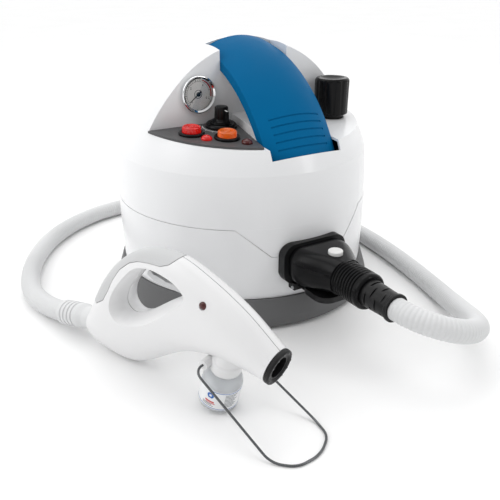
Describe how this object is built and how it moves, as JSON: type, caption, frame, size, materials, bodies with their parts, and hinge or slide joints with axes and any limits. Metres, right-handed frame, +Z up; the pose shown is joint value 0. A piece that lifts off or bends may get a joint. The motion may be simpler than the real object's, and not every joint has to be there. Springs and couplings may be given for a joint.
{
  "type": "canister steam cleaner",
  "caption": "Round dome-shaped steam cleaner with carrying handle, control recess, gauge, boiler cap, front steam socket, hose and spray gun with bottle.",
  "frame": {"origin": "on the floor under the round machine's vertical axis, at the bottom face of the centre foot", "axes": "+Z up; -Y the machine's front, where the steam hose plugs in; +X to the right seen from the front"},
  "size_m": [0.5172, 0.6776, 0.3198],
  "materials": {
    "base_grey": "dark grey fine grain",
    "black_gloss": "black gloss moulding",
    "black_plastic": "black satin moulding",
    "blue_cover": "satin blue moulding",
    "board_green": "circuit board",
    "bottle_clear": "translucent milky",
    "brass": "turned brass",
    "chrome_trim": "bright plated",
    "clear_lens": "clear",
    "dial_white": "printed dial",
    "gun_white": "smooth white moulding",
    "hose_grey": "light grey corrugated",
    "insulation": "glass fibre blanket",
    "light_grey": "light grey moulding",
    "orange_lens": "translucent orange",
    "panel_grey": "dark grey fine grain",
    "red_lens": "translucent red",
    "rubber": "black rubber",
    "steel": "bare steel",
    "white_shell": "smooth white moulding",
    "wire_steel": "dark bright wire"
  },
  "bodies": {
    "machine": {"base_tray": "base_grey", "rubber_feet": "rubber", "lower_casing": "white_shell", "upper_casing": "white_shell", "handle_cover": "blue_cover", "control_panel": "panel_grey", "button_bezels": "black_gloss", "button_switches": "black_plastic", "ready_lamp": "red_lens", "water_lamp": "red_lens", "knob_scale": "black_gloss", "steam_valve": "brass", "gauge_case": "chrome_trim", "gauge_dial": "dial_white", "gauge_glass": "clear_lens", "boiler_vessel": "steel", "filler_neck": "black_plastic", "insulation_jacket": "insulation", "heating_element": "steel", "boiler_posts": "steel", "solenoid_valve": "brass", "boiler_outlet": "brass", "thermostat": "black_plastic", "control_board": "board_green", "steam_pipe": "steel", "socket_frame": "black_plastic", "socket_block": "black_plastic", "flap_pin": "steel", "cord_gland": "black_plastic", "plug_body": "black_gloss", "plug_nozzle": "brass", "plug_collar": "black_gloss", "plug_boot": "black_plastic", "steam_hose": "hose_grey"},
    "heater_button": {"heater_button": "red_lens"},
    "steam_button": {"steam_button": "orange_lens"},
    "steam_knob": {"steam_knob": "black_gloss"},
    "gauge_needle": {"gauge_needle": "black_plastic"},
    "cap_core": {"cap_core": "black_plastic", "cap_seal": "rubber"},
    "cap_knob": {"cap_knob": "black_gloss"},
    "socket_flap": {"socket_flap": "black_plastic"},
    "plug_button": {"plug_button": "light_grey"},
    "gun": {"gun_shell_left": "gun_white", "gun_shell_right": "gun_white", "grip_pad": "light_grey", "nozzle_socket": "black_plastic", "gun_lamp": "red_lens", "gun_screws": "steel", "trigger_pin": "steel", "bottle_adapter": "gun_white", "hose_ferrule": "hose_grey", "gun_steam_tube": "steel"},
    "trigger": {"trigger": "light_grey"},
    "bottle": {"bottle": "bottle_clear", "dip_tube": "bottle_clear"},
    "wire_guard": {"wire_guard": "wire_steel"},
    "nozzle_ring": {"nozzle_ring": "base_grey"}
  },
  "joints": [
    {"name": "heater_press", "type": "slide", "parent": "machine", "child": "heater_button", "axis": [0, 0.075, -0.9972], "range_m": [0, 0.003], "stiffness_N_per_m": 300, "springref_m": -0.002},
    {"name": "steam_press", "type": "slide", "parent": "machine", "child": "steam_button", "axis": [0, 0.075, -0.9972], "range_m": [0, 0.003], "stiffness_N_per_m": 300, "springref_m": -0.002},
    {"name": "steam_knob_turn", "type": "hinge", "parent": "machine", "child": "steam_knob", "pos_m": [-0.058, -0.05137, 0.22546], "axis": [0, -0.075, 0.9972], "range_deg": [-120, 150]},
    {"name": "gauge_sweep", "type": "hinge", "parent": "machine", "child": "gauge_needle", "pos_m": [-0.078, -0.0326, 0.26], "axis": [0, 1, 0], "range_deg": [0, 250], "stiffness_Nm_per_rad": 0.0004, "springref_deg": -11.46},
    {"name": "cap_lift", "type": "slide", "parent": "machine", "child": "cap_core", "axis": [0, 0, 1], "range_m": [0, 0.012]},
    {"name": "cap_turn", "type": "hinge", "parent": "cap_core", "child": "cap_knob", "pos_m": [0.1, -0.059, 0.245], "axis": [0, 0, 1], "range_deg": [0, 1080]},
    {"name": "flap_swing", "type": "hinge", "parent": "machine", "child": "socket_flap", "pos_m": [0, -0.1745, 0.055], "axis": [1, 0, 0], "range_deg": [0, 50]},
    {"name": "plug_release", "type": "slide", "parent": "machine", "child": "plug_button", "axis": [0, 0, -1], "range_m": [0, 0.0025], "stiffness_N_per_m": 300, "springref_m": -0.002},
    {"name": "gun_lift", "type": "slide", "parent": "machine", "child": "gun", "axis": [0, 0, 1], "range_m": [0, 0.1]},
    {"name": "trigger_pull", "type": "hinge", "parent": "gun", "child": "trigger", "pos_m": [-0.18479, -0.23138, 0.1205], "axis": [0.9304, 0.3665, 0], "range_deg": [0, 5], "stiffness_Nm_per_rad": 0.3, "springref_deg": -8.59},
    {"name": "bottle_unscrew", "type": "hinge", "parent": "gun", "child": "bottle", "pos_m": [-0.17087, -0.26674, 0.06], "axis": [0.0949, -0.2408, 0.9659], "range_deg": [0, 90]},
    {"name": "wire_fold", "type": "hinge", "parent": "gun", "child": "wire_guard", "pos_m": [-0.17636, -0.25278, 0.056], "axis": [-0.9304, -0.3665, 0], "range_deg": [0, 70]},
    {"name": "nozzle_ring_turn", "type": "hinge", "parent": "gun", "child": "nozzle_ring", "pos_m": [-0.15089, -0.31744, 0.0752], "axis": [0.354, -0.8987, -0.2588], "range_deg": [-30, 30]}
  ],
  "couplings": [
    {"joint": "cap_turn", "follows": "cap_lift", "rad_per_m": 1570.8}
  ]
}
